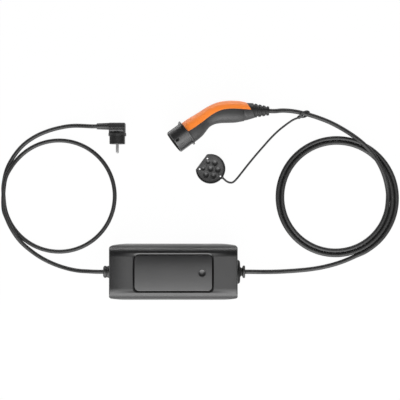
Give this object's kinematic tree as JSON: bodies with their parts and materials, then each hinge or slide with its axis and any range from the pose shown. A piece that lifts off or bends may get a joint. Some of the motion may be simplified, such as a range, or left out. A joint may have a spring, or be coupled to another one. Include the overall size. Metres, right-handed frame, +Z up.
{
  "type": "portable ev charger",
  "caption": "Portable car charger: control box with a push button, mains lead with an angled plug, coiled charging cable, car connector and dust cap.",
  "frame": {"origin": "middle of the control box's underside", "axes": "+X along the control box towards its charging side, +Y across it towards the connector, +Z up"},
  "size_m": [0.834, 0.4127, 0.0625],
  "materials": {
    "shell": "fine matte moulding grain",
    "panel": "satin",
    "orange": "satin",
    "barrel": "satin",
    "plug_plastic": "matte",
    "rubber": "matte",
    "jacket": "satin cable jacket",
    "pin": "nickel plated",
    "contact": "silver plated",
    "screw": "zinc plated",
    "board": "solder mask",
    "component": "matte",
    "can": "sleeved can"
  },
  "bodies": {
    "charger": {"box_base": "shell", "box_cover": "shell", "box_seal": "rubber", "face_panel": "panel", "switch_board": "board", "button_switch": "component", "circuit_board": "board", "power_relays": "component", "current_sensor": "component", "supply_module": "component", "filter_capacitors": "can", "terminal_blocks": "component", "board_screws": "screw", "cover_screws": "screw", "inlet_gland": "rubber", "outlet_collar": "rubber", "outlet_bush": "rubber", "supply_cord": "jacket", "plug_sleeve": "rubber", "plug_body": "rubber", "plug_insert": "plug_plastic", "plug_pins": "pin", "earth_clips": "pin", "cable_box_end": "jacket", "cable_coil": "jacket", "cable_grip_end": "jacket", "grip_cover": "orange", "grip_lower": "shell", "mating_barrel": "barrel", "front_seal": "rubber", "contact_carrier": "barrel", "power_contacts": "contact", "pilot_contacts": "contact", "cable_clamp": "screw", "grip_boot": "rubber", "dust_cap": "rubber", "cap_tether": "jacket", "tether_ring": "rubber"},
    "button": {"mode_button": "panel"}
  },
  "joints": [
    {"name": "button_press", "type": "slide", "parent": "charger", "child": "button", "axis": [0, 0, -1], "range_m": [0, 0.001], "stiffness_N_per_m": 500, "springref_m": -0.002}
  ]
}
